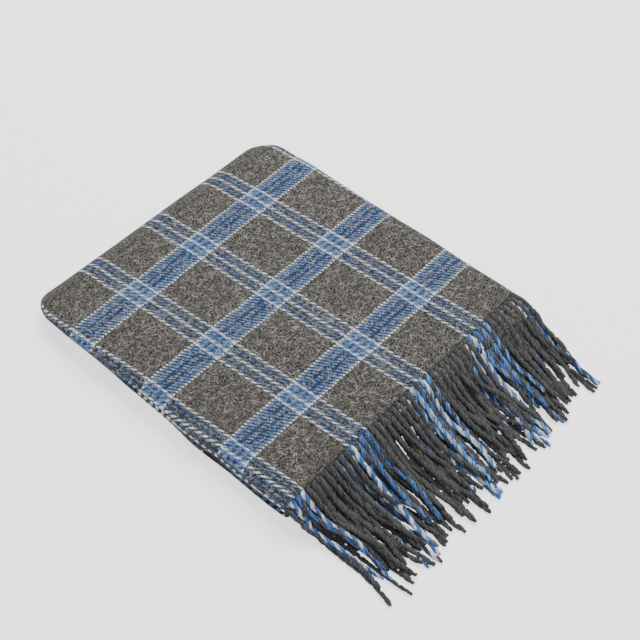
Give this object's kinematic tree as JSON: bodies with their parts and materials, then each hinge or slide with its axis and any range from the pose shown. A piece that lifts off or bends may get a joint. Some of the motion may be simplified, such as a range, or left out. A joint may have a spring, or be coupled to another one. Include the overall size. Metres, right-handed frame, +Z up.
{
  "type": "folded throw blanket",
  "caption": "Checked wool throw folded into a flat rectangular stack, with a twisted fringe lying out over the front edge; the upper half opens at the back fold.",
  "frame": {"origin": "on the table, under the middle of the folded cloth", "axes": "+X towards the fringe, +Z up, +Y towards the long edge opposite the rolled lip"},
  "size_m": [0.4953, 0.3397, 0.0343],
  "materials": {
    "checked_cloth": "milled wool twill in heathered charcoal with blue and cream stripes both ways",
    "charcoal_fringe": "twisted charcoal wool tassels",
    "blue_fringe": "twisted wool tassels in blue, cream and black"
  },
  "bodies": {
    "lower_half": {"panel_bottom": "checked_cloth", "panel_lower_middle": "checked_cloth", "front_fold_lower": "checked_cloth", "back_fold_inner": "checked_cloth", "back_fold_outer": "checked_cloth"},
    "upper_half": {"fringe_ply1_zone09_charcoal": "charcoal_fringe", "fringe_ply1_zone10_blue": "blue_fringe", "fringe_ply1_zone11_charcoal": "charcoal_fringe", "fringe_ply1_zone12_blue": "blue_fringe", "fringe_ply1_zone13_charcoal": "charcoal_fringe", "fringe_ply1_zone14_blue": "blue_fringe", "fringe_ply1_zone15_charcoal": "charcoal_fringe", "fringe_ply1_zone16_blue": "blue_fringe", "fringe_ply2_zone16_blue": "blue_fringe", "fringe_ply2_zone17_charcoal": "charcoal_fringe", "fringe_ply2_zone18_blue": "blue_fringe", "fringe_ply2_zone19_charcoal": "charcoal_fringe", "fringe_ply2_zone20_blue": "blue_fringe", "fringe_ply2_zone21_charcoal": "charcoal_fringe", "fringe_ply2_zone22_blue": "blue_fringe", "fringe_ply2_zone23_charcoal": "charcoal_fringe", "fringe_ply2_zone24_blue": "blue_fringe", "fringe_ply3_zone24_blue": "blue_fringe", "fringe_ply3_zone25_charcoal": "charcoal_fringe", "fringe_ply3_zone26_blue": "blue_fringe", "fringe_ply3_zone27_charcoal": "charcoal_fringe", "fringe_ply3_zone28_blue": "blue_fringe", "fringe_ply3_zone29_charcoal": "charcoal_fringe", "fringe_ply3_zone30_blue": "blue_fringe", "fringe_ply3_zone31_charcoal": "charcoal_fringe", "fringe_ply4_zone01_charcoal": "charcoal_fringe", "fringe_ply4_zone02_blue": "blue_fringe", "fringe_ply4_zone03_charcoal": "charcoal_fringe", "fringe_ply4_zone04_blue": "blue_fringe", "fringe_ply4_zone05_charcoal": "charcoal_fringe", "fringe_ply4_zone06_blue": "blue_fringe", "fringe_ply4_zone07_charcoal": "charcoal_fringe", "fringe_ply4_zone08_blue": "blue_fringe", "fringe_ply4_zone09_charcoal": "charcoal_fringe", "front_fold_upper": "checked_cloth", "panel_top": "checked_cloth", "panel_upper_middle": "checked_cloth", "tucked_fringe_ply1": "charcoal_fringe", "tucked_fringe_ply2": "charcoal_fringe", "tucked_fringe_ply3": "charcoal_fringe", "tucked_fringe_ply4": "charcoal_fringe", "turned_in_end": "checked_cloth"}
  },
  "joints": [
    {"name": "back_fold_hinge", "type": "hinge", "parent": "lower_half", "child": "upper_half", "pos_m": [-0.16325, 0, 0.01375], "axis": [0, -1, 0], "range_deg": [0, 177], "deforming": ["back_fold_inner", "back_fold_outer"]}
  ]
}
